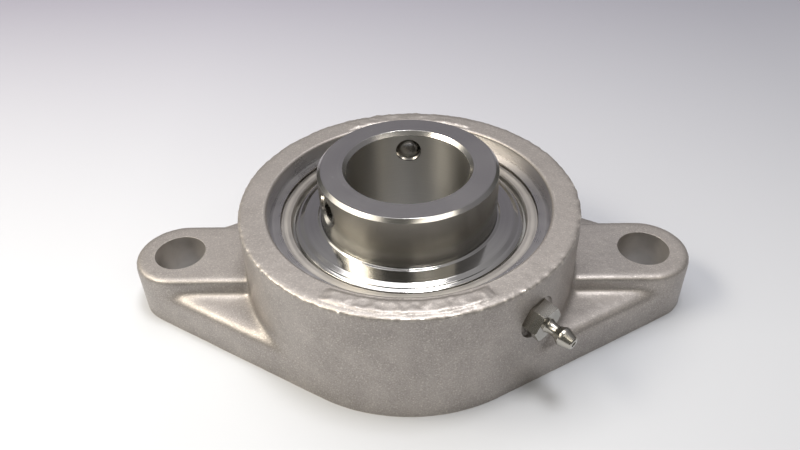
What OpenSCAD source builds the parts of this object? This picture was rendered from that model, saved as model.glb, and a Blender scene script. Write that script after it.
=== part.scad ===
// Two-bolt flange bearing: a cast housing that holds a self-aligning ball bearing insert.
// Millimetres. +Z is the shaft axis, z = 0 is the mounting face, +X runs through the bolt holes.

/* [Mounting] */
// Distance between the centres of the two bolt holes
bolt_spacing = 130; // [118:1:150]
// Diameter of a bolt hole
bolt_hole_d = 14; // [9:0.5:16]
// Radius of the rounded end of an ear
ear_r = 12.5; // [11:0.5:15]
// Height of the flat top of an ear
ear_h = 15.5; // [15:0.5:20]
// Height of the triangular webs beside an ear
web_h = 11.2; // [7:0.1:12]

/* [Housing] */
// Height of the bearing centre above the mounting face
seat_h = 19; // [18:0.5:23]
// Length of seat in front of the outer ring's face
seat_over = 1; // [0.5:0.1:2]
// Radial step from the seat out to the wall of the mouth
mouth_step = 1.5; // [1:0.05:3]
// Depth of the mouth in front of the seat
mouth_depth = 4; // [3:0.5:6]
// Width of the flat rim around the mouth
rim_w = 7.5; // [6:0.25:12]
// Radial depth of the lip behind the seat
rear_lip = 2; // [1:0.25:3.5]
// Radius on the cast outer edge of the rim
rim_round = 0.8; // [0.4:0.1:2]
// Radius on the cast edges of the ears and webs
edge_round = 1.5; // [0.5:0.1:2]
// Radius of the hollow blends between cast walls and floors
blend_r = 2; // [1:0.1:2.5]
// Chamfer on the edges of the machined openings
opening_chamfer = 0.6; // [0.2:0.1:1]
// Height of the two plain raised pads on the rim
pad_h = 0.4; // [0.2:0.1:1]
// Angle that each rim pad covers
pad_angle = 62; // [20:1:100]
// Flat left on the rim beside both edges of a rim pad
pad_margin = 0.3; // [0.1:0.1:1]

/* [Bearing] */
// Diameter of the shaft bore
bore_d = 31.75; // [26:0.05:34]
// Length of the inner ring
inner_w = 42.9; // [38:0.1:50]
// Length of the inner ring behind the bearing centre
inner_back = 17.5; // [14:0.1:18]
// Wall of the outer ring between its raceway and its spherical outside
outer_wall = 3.664; // [3:0.002:6]
// Width of the outer ring
outer_w = 20; // [19:0.5:24]
// Number of balls
ball_count = 9; // [7:1:10]
// Diameter of a ball
ball_d = 11.112; // [10:0.1:11.8]
// Diameter of the circle through the ball centres
pitch_d = 53.5; // [52:0.1:54.5]
// Depth of the raceway in either ring
race_depth = 2.28; // [1.5:0.01:2.6]
// Chamfer on the outer edges of the inner ring
ring_chamfer = 0.9; // [0.3:0.1:1.2]
// Chamfer on the edges of the shaft bore
bore_chamfer = 1; // [0.2:0.05:1.5]

/* [Cage] */
// Radial width of the cage strip
cage_w = 4.1; // [3:0.1:4.6]
// Thickness of the cage strip
cage_t = 0.8; // [0.5:0.1:1.2]
// Diameter of a cage rivet
rivet_d = 1.6; // [1:0.1:1.8]

/* [Seals and flingers] */
// Thickness of a seal's steel shield
shield_t = 0.8; // [0.5:0.1:1.2]
// Radial step from the outer ring's land out to the seal recess
seal_step = 1.25; // [0.8:0.05:1.6]
// Thickness of the rubber on each face of the shield
rubber_t = 0.35; // [0.2:0.05:0.6]
// Thickness of a flinger
flinger_t = 0.9; // [0.5:0.1:1.2]
// Height of a flinger's hub
flinger_h = 2.05; // [1.6:0.05:3]
// Radial gap between a flinger and the outer ring
flinger_gap = 0.7; // [0.5:0.1:1.5]
// Width of the lip where a flinger turns up against the inner ring
flinger_lip_w = 0.95; // [0.5:0.05:1.5]
// Height of that lip above the disc
flinger_lip_h = 0.35; // [0.1:0.05:0.6]
// Drop of the disc from the lip out to the step
flinger_dish = 0.45; // [0.1:0.05:0.6]
// Drop of the step near a flinger's rim
flinger_drop = 0.5; // [0.2:0.05:0.6]
// Width of the low band outside that step
flinger_band = 1.3; // [0.8:0.1:2.5]
// Width of the step's slope
flinger_slope = 1.2; // [0.4:0.05:1.5]
// Drop of the low band towards the rim
flinger_fall = 0.15; // [0.05:0.05:0.3]

/* [Set screws] */
// Core diameter of a set screw's thread
screw_d = 6.9; // [5:0.05:7.5]
// Length of a set screw
screw_l = 6; // [4.5:0.1:7]
// Distance of the set screws from the inner ring's front face
screw_in = 5.9; // [5.5:0.1:8]
// Angle between the two set screws
screw_angle = 120; // [60:1:180]
// Hexagon socket of a set screw, across flats
socket_af = 4; // [2.5:0.5:4.5]
// Depth of the hexagon socket
socket_depth = 3; // [2:0.1:3.5]
// Distance of a set screw's point from the bore's wall
point_back = 1; // [0.5:0.1:1.5]

/* [Grease nipple] */
// Angle of the nipple around the shaft axis
nipple_angle = -46.5; // [-58:0.5:-35]
// Height of the nipple above the bearing centre
nipple_rise = 3; // [1:0.25:4]
// Lean of the nipple towards the mounting face
nipple_lean = 6; // [0:0.5:12]
// Gap between the hexagon's corners and the wall of the spot face
spot_gap = 0.85; // [0.3:0.05:2]
// Depth of the spot face below the boss wall
spot_depth = 1; // [0.8:0.1:3]
// Pitch diameter of the nipple's thread
stem_d = 5.8; // [4.5:0.1:6]
// Length of the nipple's thread
stem_l = 5.5; // [4:0.1:6]
// Hexagon of the nipple, across flats
hex_af = 8.5; // [6:0.5:9]
// Height of the nipple's hexagon
hex_h = 4.2; // [3.5:0.1:6]
// Diameter of the nipple's neck
neck_d = 3.5; // [3.3:0.1:4.5]
// Length of the nipple's neck
neck_l = 2.8; // [2:0.1:5]
// Diameter of the nipple's head
head_d = 4.9; // [4.5:0.1:6.5]
// Length of the nipple's head
head_l = 4.7; // [4:0.1:7]
// Diameter of the flat tip of the nipple's head
tip_d = 3; // [2.5:0.1:4]
// Diameter of the nipple's check ball
check_d = 2.2; // [1.8:0.1:2.6]
// Diameter of the wire of the check ball's spring
wire_d = 0.35; // [0.2:0.05:0.45]

/* [Clearances] */
// Radial gap between the outer ring and the housing's seat
seat_gap = 0.03; // [0.01:0.01:0.1]
// Gap between a ball and either raceway
race_gap = 0.03; // [0.01:0.01:0.05]
// Gap between a ball and its cage pocket
pocket_gap = 0.15; // [0.1:0.01:0.3]
// Gap along the axis between the cage and the seal
seal_gap = 0.35; // [0.2:0.05:0.6]
// Gap between a seal's lip and the inner ring
lip_gap = 0.05; // [0.02:0.01:0.1]
// Gap along the axis between the seal and the flinger
flinger_lift = 0.6; // [0.3:0.05:1]
// Radial gap between a set screw and its tapped hole
screw_gap = 0.05; // [0.02:0.01:0.1]
// Gap between pieces that are pressed, riveted or screwed together
fit_gap = 0.02; // [0.01:0.01:0.05]
// Gap between the nipple's check ball and its bore
check_gap = 0.05; // [0.03:0.01:0.1]

/* [Hidden] */
$fn = 96;

// How far blends, cuts and joined shapes run past the faces that they cross
lap = 0.03;
past = 1;

// Ball track and rings
ball_r = ball_d / 2;
pitch_r = pitch_d / 2;
inner_race_r = pitch_r - ball_r - race_gap;
outer_race_r = pitch_r + ball_r + race_gap;
// A raceway is a little more open than the ball that runs in it
inner_openness = 1.03;
outer_openness = 1.05;
inner_groove_r = inner_openness * ball_r;
outer_groove_r = outer_openness * ball_r;
outer_groove_half_w = sqrt(outer_groove_r ^ 2 - (outer_groove_r - race_depth) ^ 2);
shoulder_r = inner_race_r + race_depth;
land_r = outer_race_r - race_depth;
bore_r = bore_d / 2;
// The outside is 72 mm across with the sizes above
sphere_d = 2 * (outer_race_r + outer_wall);
sphere_r = sphere_d / 2;
inner_z = seat_h - inner_back;

// Cage, measured from the bearing centre
pocket_r = ball_r + pocket_gap;
cage_in_r = pitch_r - cage_w / 2;
cage_top = pocket_r + cage_t;
rivet_head_w = 0.48;
rivet_head_h = 0.48;

// Seals and flingers, measured from the bearing centre
shield_low = cage_top + seal_gap + rubber_t;
shield_high = shield_low + shield_t;
rubber_high = shield_high + rubber_t;
recess_r = land_r + seal_step;
snap_depth = 0.6;
snap_r = recess_r + snap_depth;
lip_w = 1.2;
rubber_edge = 0.6;
rubber_in_r = shoulder_r + lip_w;
shield_in_r = rubber_in_r + rubber_edge;
rubber_out_r = shield_in_r + lip_w;
flinger_low = rubber_high + flinger_lift;
flinger_r = recess_r - flinger_gap;

// Housing
seat_r = sphere_r + seat_gap;
mouth_r = sphere_r + mouth_step;
mouth_z = seat_h + outer_w / 2 + seat_over;
boss_r = mouth_r + rim_w;
boss_h = mouth_z + mouth_depth;
rear_r = sphere_r - rear_lip;
bolt_x = bolt_spacing / 2;
web_angle = acos((boss_r - ear_r) / bolt_x);
web_l = bolt_x * sin(web_angle);
slot_gap = 0.05;
slot_side_gap = 0.3;

// Grease passage: duct in the housing, then a groove around the outer ring that reaches from the duct
// to the holes, which come out between the raceway and the seal
duct_d = 4;
grease_hole_d = 1.8;
grease_hole_rise = (outer_groove_half_w + shield_low) / 2;
groove_low = nipple_rise;
groove_high = grease_hole_rise + grease_hole_d;
groove_depth = 0.8;

// Set screws
screw_r = screw_d / 2;
screw_z = inner_z + inner_w - screw_in;
screw_angles = [90, 90 + screw_angle];
point_r = bore_r + point_back;
screw_edge = 0.4;
point_edge = 1.2;
cup_r = 1.9;
cup_depth = 1;
sink_w = 0.6;

// Grease nipple, measured out from the shaft axis
spot_r = boss_r - spot_depth;
spot_d = hex_af / cos(30) + 2 * spot_gap;
stem_end = spot_r - stem_l;
hex_end = spot_r + hex_h;
neck_end = hex_end + neck_l;
head_end = neck_end + head_l;
neck_taper = 0.18;
head_back_l = 1.2;
head_band_l = 0.8;
check_r = check_d / 2;
check_bore_r = check_r + check_gap;
check_overlap = 0.4;
mouth_hole_r = check_r - check_overlap;
check_sink = 0.55;
check_at = head_end - check_r - check_sink;
spring_low = hex_end - hex_h / 2;
spring_r = check_bore_r - wire_d / 2 - check_gap;
spring_turns = 8;

// Places

module front_side() {
    translate([0, 0, seat_h]) children();
}

module rear_side() {
    translate([0, 0, seat_h]) mirror([0, 0, 1]) children();
}

module at_ball(i) {
    rotate([0, 0, 360 / ball_count * (i - 1)]) translate([pitch_r, 0, 0]) children();
}

module at_rivet(i) {
    rotate([0, 0, 360 / ball_count * (i - 0.5)]) translate([pitch_r, 0, 0]) children();
}

// Local +Z points away from the shaft axis
module at_screw(angle) {
    rotate([0, 0, angle]) translate([0, 0, screw_z]) rotate([0, 90, 0]) children();
}

// The nipple leans about the middle of its spot face
module at_nipple() {
    rotate([0, 0, nipple_angle]) translate([spot_r, 0, seat_h + nipple_rise])
        rotate([0, 90 + nipple_lean, 0]) translate([0, 0, -spot_r]) children();
}

// Flat shapes

// Half of a block seen from the end, with its upper outer corner rounded
module rounded_half(half_w, h, round) {
    square([half_w, h - round]);
    square([half_w - round, h]);
    translate([half_w - round, h - round]) circle(round);
}

// Corner between a wall at x = 0 and a floor at y = 0, filled with a hollow blend
module hollow_blend() {
    difference() {
        translate([-past, -past]) square(past + blend_r - lap);
        translate([blend_r - lap, blend_r - lap]) circle(blend_r);
    }
}

// What comes off a square edge at the origin to round it
module edge_cut(round) {
    difference() {
        square(round + past);
        circle(round);
    }
}

function web_corner(sx, sy, x, r) = [sx * (x + r * cos(web_angle)), sy * r * sin(web_angle)];

// Slanted outline of the webs, which meets the boss and the ears a little inside their walls
module web_outline(inset) {
    at_boss = boss_r - lap - inset;
    at_ear = ear_r - lap - inset;
    polygon([
        web_corner(1, 1, 0, at_boss),
        web_corner(1, 1, bolt_x, at_ear),
        web_corner(1, -1, bolt_x, at_ear),
        web_corner(1, -1, 0, at_boss),
        web_corner(-1, -1, 0, at_boss),
        web_corner(-1, -1, bolt_x, at_ear),
        web_corner(-1, 1, bolt_x, at_ear),
        web_corner(-1, 1, 0, at_boss)
    ]);
}

// Housing

module boss() {
    rotate_extrude() rounded_half(boss_r, boss_h, rim_round);
}

module ears() {
    rotate([90, 0, 90]) linear_extrude(bolt_spacing, center = true) {
        rounded_half(ear_r, ear_h, edge_round);
        mirror([1, 0]) rounded_half(ear_r, ear_h, edge_round);
    }
    for (turn = [0, 180])
        rotate([0, 0, turn]) translate([bolt_x, 0, 0]) rotate([0, 0, -90])
            rotate_extrude(angle = 180) rounded_half(ear_r, ear_h, edge_round);
}

module webs() {
    difference() {
        linear_extrude(web_h) web_outline(0);
        for (mx = [0, 1], my = [0, 1])
            mirror([mx, 0, 0]) mirror([0, my, 0]) rotate([0, 0, web_angle])
                translate([boss_r - edge_round, past, web_h - edge_round + lap]) rotate([90, 0, 0])
                    linear_extrude(web_l + 2 * past) edge_cut(edge_round);
    }
}

module blends() {
    intersection() {
        translate([0, 0, ear_h]) rotate_extrude() translate([boss_r, 0]) hollow_blend();
        translate([-bolt_x, edge_round - ear_r, 0]) cube([bolt_spacing, 2 * (ear_r - edge_round), boss_h]);
    }
    intersection() {
        union() {
            translate([0, 0, web_h]) rotate_extrude() translate([boss_r, 0]) hollow_blend();
            for (my = [0, 1])
                mirror([0, my, 0]) translate([0, ear_r, web_h]) rotate([90, 0, 90])
                    linear_extrude(bolt_spacing, center = true) hollow_blend();
        }
        linear_extrude(boss_h) web_outline(edge_round);
    }
}

module rim_pads() {
    for (turn = [-90, 90])
        rotate([0, 0, turn - pad_angle / 2]) rotate_extrude(angle = pad_angle)
            translate([mouth_r + opening_chamfer + pad_margin, boss_h - past])
                square([rim_w - opening_chamfer - rim_round - 2 * pad_margin, past + pad_h]);
}

// Mouth, spherical seat and rear opening in one turned shape
module seat_cavity() {
    rotate_extrude() {
        translate([0, mouth_z]) square([mouth_r, mouth_depth + pad_h + past]);
        translate([0, seat_h]) intersection() {
            circle(seat_r);
            translate([0, -seat_r]) square([seat_r, 2 * seat_r]);
        }
        translate([0, -past]) square([rear_r, seat_h + past]);
        polygon([
            [rear_r - past, -past],
            [rear_r + opening_chamfer + past, -past],
            [rear_r - past, opening_chamfer + past]
        ]);
        polygon([
            [mouth_r - past, boss_h + past],
            [mouth_r + opening_chamfer + past, boss_h + past],
            [mouth_r - past, boss_h - opening_chamfer - past]
        ]);
    }
}

// Two slots through which the insert goes in edgewise before it is turned into its seat
module loading_slots() {
    slot_w = outer_w + 2 * slot_side_gap;
    intersection() {
        translate([0, 0, -past]) cylinder(r = seat_r + slot_gap, h = seat_h + past);
        translate([-boss_r, -slot_w / 2, -past]) cube([2 * boss_r, slot_w, seat_h + 2 * past]);
    }
}

module nipple_seat() {
    at_nipple() {
        translate([0, 0, spot_r]) cylinder(d = spot_d, h = spot_depth + spot_d / 2);
        translate([0, 0, stem_end - fit_gap]) cylinder(d = stem_d + 2 * fit_gap, h = stem_l + past);
        translate([0, 0, rear_r]) cylinder(d = duct_d, h = stem_end - rear_r);
    }
}

module housing() {
    color([0.66, 0.64, 0.61])
        difference() {
            union() {
                boss();
                ears();
                webs();
                blends();
                rim_pads();
            }
            seat_cavity();
            loading_slots();
            nipple_seat();
            for (x = [-bolt_x, bolt_x])
                translate([x, 0, -past]) cylinder(d = bolt_hole_d, h = ear_h + 2 * past);
        }
}

// Bearing insert

module outer_ring_section() {
    half_w = outer_w / 2;
    difference() {
        intersection() {
            circle(sphere_r);
            translate([land_r, -half_w]) square([sphere_r, outer_w]);
        }
        translate([outer_race_r - outer_groove_r, 0]) circle(outer_groove_r);
        for (m = [0, 1])
            mirror([0, m]) {
                translate([land_r - past, shield_low - fit_gap])
                    square([snap_r - land_r + past, shield_t + 2 * fit_gap]);
                translate([land_r - past, shield_high]) square([recess_r - land_r + past, half_w]);
            }
        translate([sqrt(sphere_r ^ 2 - groove_high ^ 2) - groove_depth, groove_low])
            square([groove_depth + sphere_r, groove_high - groove_low]);
    }
}

module outer_ring() {
    color([0.78, 0.77, 0.75])
        front_side()
            difference() {
                rotate_extrude() outer_ring_section();
                for (turn = [0, 180])
                    rotate([0, 0, nipple_angle + turn]) translate([land_r - past, 0, grease_hole_rise])
                        rotate([0, 90, 0]) cylinder(d = grease_hole_d, h = sphere_r);
            }
}

module inner_ring_section() {
    difference() {
        translate([bore_r, inner_z]) square([shoulder_r - bore_r, inner_w]);
        translate([inner_race_r + inner_groove_r, seat_h]) circle(inner_groove_r);
        for (z = [inner_z, inner_z + inner_w]) {
            translate([bore_r, z]) rotate(45) square(bore_chamfer * sqrt(2), center = true);
            translate([shoulder_r, z]) rotate(45) square(ring_chamfer * sqrt(2), center = true);
        }
    }
}

module inner_ring() {
    color([0.72, 0.71, 0.68])
        difference() {
            rotate_extrude() inner_ring_section();
            for (angle = screw_angles)
                at_screw(angle) {
                    cylinder(r = screw_r + screw_gap, h = shoulder_r + past);
                    translate([0, 0, shoulder_r - sink_w])
                        cylinder(r1 = screw_r, r2 = screw_r + sink_w + past, h = sink_w + past);
                }
        }
}

module ball(i) {
    color([0.85, 0.85, 0.86]) front_side() at_ball(i) sphere(ball_r);
}

// One stamped half of the cage, above the plane through the ball centres
module cage_half() {
    color([0.70, 0.69, 0.66])
        difference() {
            intersection() {
                union() {
                    cylinder(r = pitch_r + cage_w, h = cage_t);
                    for (i = [1:ball_count])
                        at_ball(i) sphere(cage_top);
                }
                rotate_extrude() translate([cage_in_r, 0]) square([cage_w, cage_top + past]);
            }
            for (i = [1:ball_count]) {
                at_ball(i) sphere(pocket_r);
                at_rivet(i) translate([0, 0, -past])
                    cylinder(d = rivet_d + 2 * fit_gap, h = cage_t + 2 * past);
            }
        }
}

module cage_front() {
    front_side() cage_half();
}

module cage_rear() {
    rear_side() cage_half();
}

module cage_rivets() {
    color([0.62, 0.61, 0.58])
        front_side()
            for (i = [1:ball_count])
                at_rivet(i) {
                    cylinder(d = rivet_d, h = 2 * cage_t, center = true);
                    for (m = [0, 1])
                        mirror([0, 0, m]) translate([0, 0, cage_t])
                            cylinder(r1 = rivet_d / 2 + rivet_head_w, r2 = rivet_d / 2, h = rivet_head_h);
                }
}

// Steel ring that snaps into the outer ring and stiffens the seal
module seal_shield() {
    color([0.60, 0.60, 0.60])
        rotate_extrude() translate([shield_in_r, shield_low])
            square([snap_r - fit_gap - shield_in_r, shield_t]);
}

// Rubber moulded around the shield's inner edge, with a lip that reaches in to the inner ring
module seal_lip() {
    lip_r = shoulder_r + lip_gap;
    color([0.12, 0.12, 0.12])
        rotate_extrude()
            polygon([
                [lip_r, shield_high - rubber_t],
                [rubber_in_r, shield_low - rubber_t],
                [rubber_out_r, shield_low - rubber_t],
                [rubber_out_r, shield_low - fit_gap],
                [shield_in_r - fit_gap, shield_low - fit_gap],
                [shield_in_r - fit_gap, shield_high + fit_gap],
                [rubber_out_r, shield_high + fit_gap],
                [rubber_out_r, rubber_high],
                [rubber_in_r, rubber_high],
                [lip_r, shield_high]
            ]);
}

// Stamped disc that turns with the inner ring and throws dirt outwards
module flinger() {
    hub_r = shoulder_r + fit_gap;
    step_out_r = flinger_r - flinger_band;
    step_in_r = step_out_r - flinger_slope;
    lip_r = hub_r + flinger_lip_w;
    top = flinger_low + flinger_h;
    lip_low = top - flinger_lip_h;
    step_top = lip_low - flinger_dish;
    step_low = step_top - flinger_drop;
    rim_top = step_low - flinger_fall;
    color([0.80, 0.79, 0.76])
        rotate_extrude()
            polygon([
                [hub_r, flinger_low],
                [lip_r, flinger_low],
                [lip_r, lip_low - flinger_t],
                [step_in_r - flinger_dish, step_top - flinger_t],
                [step_out_r - flinger_dish, step_low - flinger_t],
                [flinger_r, rim_top - flinger_t],
                [flinger_r, rim_top],
                [step_out_r, step_low],
                [step_in_r, step_top],
                [lip_r, lip_low],
                [(hub_r + lip_r) / 2, top],
                [hub_r, top]
            ]);
}

module front_seal_shield() {
    front_side() seal_shield();
}

module front_seal_lip() {
    front_side() seal_lip();
}

module rear_seal_shield() {
    rear_side() seal_shield();
}

module rear_seal_lip() {
    rear_side() seal_lip();
}

module front_flinger() {
    front_side() flinger();
}

module rear_flinger() {
    rear_side() flinger();
}

// Set screws

module set_screw(angle) {
    socket_r = socket_af / 2 / cos(30);
    color([0.30, 0.30, 0.29])
        at_screw(angle) translate([0, 0, point_r])
            difference() {
                rotate_extrude()
                    polygon([
                        [0, cup_depth],
                        [cup_r, 0],
                        [screw_r - point_edge, 0],
                        [screw_r, point_edge],
                        [screw_r, screw_l - screw_edge],
                        [screw_r - screw_edge, screw_l],
                        [0, screw_l]
                    ]);
                translate([0, 0, screw_l - socket_depth])
                    cylinder(r = socket_r, h = socket_depth + past, $fn = 6);
            }
}

module set_screw_back() {
    set_screw(screw_angles[0]);
}

module set_screw_left() {
    set_screw(screw_angles[1]);
}

// Grease nipple

module nipple_nose_section() {
    polygon([
        [0, hex_end - past],
        [neck_d / 2, hex_end - past],
        [neck_d / 2, hex_end],
        [neck_d / 2 - neck_taper, neck_end],
        [head_d / 2, neck_end + head_back_l],
        [head_d / 2, neck_end + head_back_l + head_band_l],
        [tip_d / 2, head_end],
        [0, head_end]
    ]);
}

module grease_nipple() {
    color([0.80, 0.78, 0.72])
        at_nipple()
            difference() {
                union() {
                    translate([0, 0, stem_end]) cylinder(d = stem_d, h = stem_l + past);
                    translate([0, 0, spot_r]) rotate(30)
                        cylinder(r = hex_af / 2 / cos(30), h = hex_h, $fn = 6);
                    rotate_extrude() nipple_nose_section();
                }
                translate([0, 0, spring_low]) cylinder(r = check_bore_r, h = check_at - spring_low);
                translate([0, 0, check_at]) sphere(check_bore_r);
                translate([0, 0, stem_end - past])
                    cylinder(r = mouth_hole_r, h = head_end - stem_end + 2 * past);
            }
}

module nipple_check_ball() {
    color([0.85, 0.85, 0.86]) at_nipple() translate([0, 0, check_at]) sphere(check_r);
}

// Points of the spring's wire: rings of six corners along a coil
function coil_point(angle, rise, corner) =
    let (out = spring_r + wire_d / 2 * cos(corner))
    [out * cos(angle), out * sin(angle), rise + wire_d / 2 * sin(corner)];

module nipple_spring() {
    steps_per_turn = 12;
    corners = 6;
    steps = spring_turns * steps_per_turn;
    low = spring_low + wire_d / 2 + check_gap;
    high = check_at - check_r - wire_d / 2 - check_gap;
    points = [
        for (s = [0:steps], k = [0:corners - 1])
            coil_point(360 / steps_per_turn * s, low + (high - low) * s / steps, 360 / corners * k)
    ];
    sides = [
        for (s = [0:steps - 1], k = [0:corners - 1])
            let (a = s * corners + k, b = s * corners + (k + 1) % corners)
            [a, b, b + corners, a + corners]
    ];
    first_end = [for (k = [corners - 1:-1:0]) k];
    last_end = [for (k = [0:corners - 1]) steps * corners + k];
    color([0.55, 0.55, 0.55]) at_nipple() polyhedron(points, concat([first_end], sides, [last_end]));
}

housing();
outer_ring();
inner_ring();
for (i = [1:ball_count])
    ball(i);
cage_front();
cage_rear();
cage_rivets();
front_seal_shield();
front_seal_lip();
rear_seal_shield();
rear_seal_lip();
front_flinger();
rear_flinger();
set_screw_back();
set_screw_left();
grease_nipple();
nipple_check_ball();
nipple_spring();
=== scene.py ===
"""Looks of a two-bolt flange bearing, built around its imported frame."""

import logging
import math
from dataclasses import dataclass, field
from enum import Enum
from typing import Any, Callable, Sequence

import bmesh
import bpy
import numpy as np
from mathutils import Matrix, Vector


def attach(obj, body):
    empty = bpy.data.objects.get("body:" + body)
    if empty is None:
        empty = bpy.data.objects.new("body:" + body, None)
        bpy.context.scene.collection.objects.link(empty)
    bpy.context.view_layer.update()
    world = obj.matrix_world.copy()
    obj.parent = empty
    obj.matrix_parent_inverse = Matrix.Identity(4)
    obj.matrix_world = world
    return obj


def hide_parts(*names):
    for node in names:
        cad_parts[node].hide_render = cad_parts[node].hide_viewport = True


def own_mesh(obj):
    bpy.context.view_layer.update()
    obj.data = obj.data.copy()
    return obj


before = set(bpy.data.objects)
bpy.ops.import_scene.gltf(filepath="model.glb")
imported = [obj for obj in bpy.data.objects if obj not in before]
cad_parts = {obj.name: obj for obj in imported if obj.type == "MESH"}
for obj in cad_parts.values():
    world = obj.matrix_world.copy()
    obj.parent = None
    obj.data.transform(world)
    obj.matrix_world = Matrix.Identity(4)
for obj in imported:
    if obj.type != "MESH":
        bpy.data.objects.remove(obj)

log = logging.getLogger("flange_bearing")

MM = 0.001
SAME = 1e-6
TINY = 1e-7
SEAT_Z = 19.0
SCREW_Z = 38.5
SCREW_ANGLES = {"set_screw_back": 90.0, "set_screw_left": 210.0}

Piece = bpy.types.Object
Node = bpy.types.Node
Socket = bpy.types.NodeSocket
Edge = bmesh.types.BMEdge
Point = tuple[float, float]
Colour = tuple[float, float, float]


class Slot(str, Enum):
    """Material slots of the record."""

    CAST = "cast_stainless"
    GROUND = "ground_steel"
    POLISHED = "polished_steel"
    SCREW = "screw_steel"
    NIPPLE = "nipple_plate"


class Cut(Enum):
    """What a boolean modifier does with its second shape."""

    JOIN = "UNION"
    REMOVE = "DIFFERENCE"
    KEEP = "INTERSECT"


class Lay(Enum):
    """Way that the fine lines of a machined face run."""

    TURNED = "rings around the shaft axis"
    NONE = "no lines"


# Workshop: shapes made with operators


class Workshop:
    """Makes and changes meshes with Blender's own operators."""

    @staticmethod
    def clear_selection() -> None:
        """Leaves edit mode and deselects every object."""
        if bpy.context.mode != "OBJECT":
            bpy.ops.object.mode_set(mode="OBJECT")
        bpy.ops.object.select_all(action="DESELECT")

    @classmethod
    def pick(cls, piece: Piece) -> None:
        """Makes one object the only selected and active one.

        Args:
            piece: The object.
        """
        cls.clear_selection()
        piece.select_set(True)
        bpy.context.view_layer.objects.active = piece

    @classmethod
    def edit(cls, piece: Piece) -> None:
        """Opens one object in edit mode with everything selected.

        Args:
            piece: The object.
        """
        cls.pick(piece)
        bpy.ops.object.mode_set(mode="EDIT")
        bpy.ops.mesh.select_all(action="SELECT")

    @staticmethod
    def close() -> None:
        """Leaves edit mode."""
        bpy.ops.object.mode_set(mode="OBJECT")

    @staticmethod
    def named(name: str) -> Piece:
        """Names the active object and its mesh.

        Args:
            name: The new name.

        Returns:
            The object.
        """
        piece = bpy.context.view_layer.objects.active
        piece.name = piece.data.name = name
        return piece

    @classmethod
    def settle(cls, piece: Piece) -> Piece:
        """Moves an object's place into its mesh.

        Args:
            piece: The object.

        Returns:
            The same object.
        """
        cls.pick(piece)
        bpy.ops.object.transform_apply(location=True, rotation=True, scale=True)
        return piece

    @classmethod
    def cylinder(
        cls, name: str, radius: float, low: float, high: float, sides: int, at: Point = (0.0, 0.0)
    ) -> Piece:
        """Adds an upright cylinder.

        Args:
            name: Name of the object.
            radius: Radius in millimetres.
            low: Height of its lower face in millimetres.
            high: Height of its upper face in millimetres.
            sides: Number of side faces.
            at: Place of its axis in millimetres.

        Returns:
            The new object, with its place in its mesh.
        """
        cls.clear_selection()
        bpy.ops.mesh.primitive_cylinder_add(
            vertices=sides,
            radius=radius * MM,
            depth=(high - low) * MM,
            location=(at[0] * MM, at[1] * MM, (low + high) / 2 * MM),
        )
        return cls.settle(cls.named(name))

    @classmethod
    def block(cls, name: str, low: Sequence[float], high: Sequence[float]) -> Piece:
        """Adds a block between two corners.

        Args:
            name: Name of the object.
            low: Lowest corner in millimetres.
            high: Highest corner in millimetres.

        Returns:
            The new object, with its place in its mesh.
        """
        cls.clear_selection()
        middle = [(a + b) / 2 * MM for a, b in zip(low, high)]
        bpy.ops.mesh.primitive_cube_add(size=1.0, location=middle)
        piece = cls.named(name)
        piece.scale = [(b - a) * MM for a, b in zip(low, high)]
        return cls.settle(piece)

    @classmethod
    def turned(cls, name: str, section: Sequence[Point], steps: int) -> Piece:
        """Spins a section around the shaft axis.

        Args:
            name: Name of the object.
            section: Corners (radius, height) in millimetres: a line from axis to axis if it starts
                on the axis, or else a loop.
            steps: Number of steps in the full turn.

        Returns:
            The new object.
        """
        cls.clear_selection()
        bpy.ops.mesh.primitive_circle_add(vertices=len(section), radius=1.0, fill_type="NOTHING")
        piece = cls.named(name)
        for vertex, (radius, height) in zip(piece.data.vertices, section):
            vertex.co = (radius * MM, 0.0, height * MM)
        if section[0][0] == 0.0:
            ends = {0, len(section) - 1}
            cls.select_edges(piece, lambda edge: {v.index for v in edge.verts} == ends)
            bpy.ops.mesh.delete(type="EDGE_FACE")
            cls.close()
        cls.edit(piece)
        bpy.ops.mesh.spin(steps=steps, angle=2 * math.pi, center=(0, 0, 0), axis=(0, 0, 1))
        bpy.ops.mesh.select_all(action="SELECT")
        bpy.ops.mesh.remove_doubles(threshold=SAME)
        bpy.ops.mesh.normals_make_consistent(inside=False)
        cls.close()
        return piece

    @classmethod
    def place(cls, piece: Piece, matrix: Matrix) -> Piece:
        """Moves a shape, with its object kept at the origin.

        Args:
            piece: The object.
            matrix: Where it goes.

        Returns:
            The same object.
        """
        piece.matrix_world = matrix
        bpy.context.view_layer.update()
        return cls.settle(piece)

    @classmethod
    def select_edges(cls, piece: Piece, test: Callable[[Edge], bool]) -> None:
        """Opens an object in edit mode with some of its edges selected.

        Args:
            piece: The object.
            test: Says whether an edge is selected.
        """
        cls.edit(piece)
        bpy.ops.mesh.select_mode(type="EDGE")
        bpy.ops.mesh.select_all(action="DESELECT")
        mesh = bmesh.from_edit_mesh(piece.data)
        for edge in mesh.edges:
            edge.select_set(test(edge))
        mesh.select_flush(True)
        bmesh.update_edit_mesh(piece.data)

    @classmethod
    def round_edges(cls, piece: Piece, test: Callable[[Edge], bool], radius: float, steps: int = 4) -> None:
        """Rounds some edges of an object.

        Args:
            piece: The object.
            test: Says whether an edge is rounded.
            radius: Width of the rounding in millimetres.
            steps: Number of faces across it.
        """
        cls.select_edges(piece, test)
        bpy.ops.mesh.bevel(offset=radius * MM, segments=steps, affect="EDGES")
        cls.close()

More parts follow.
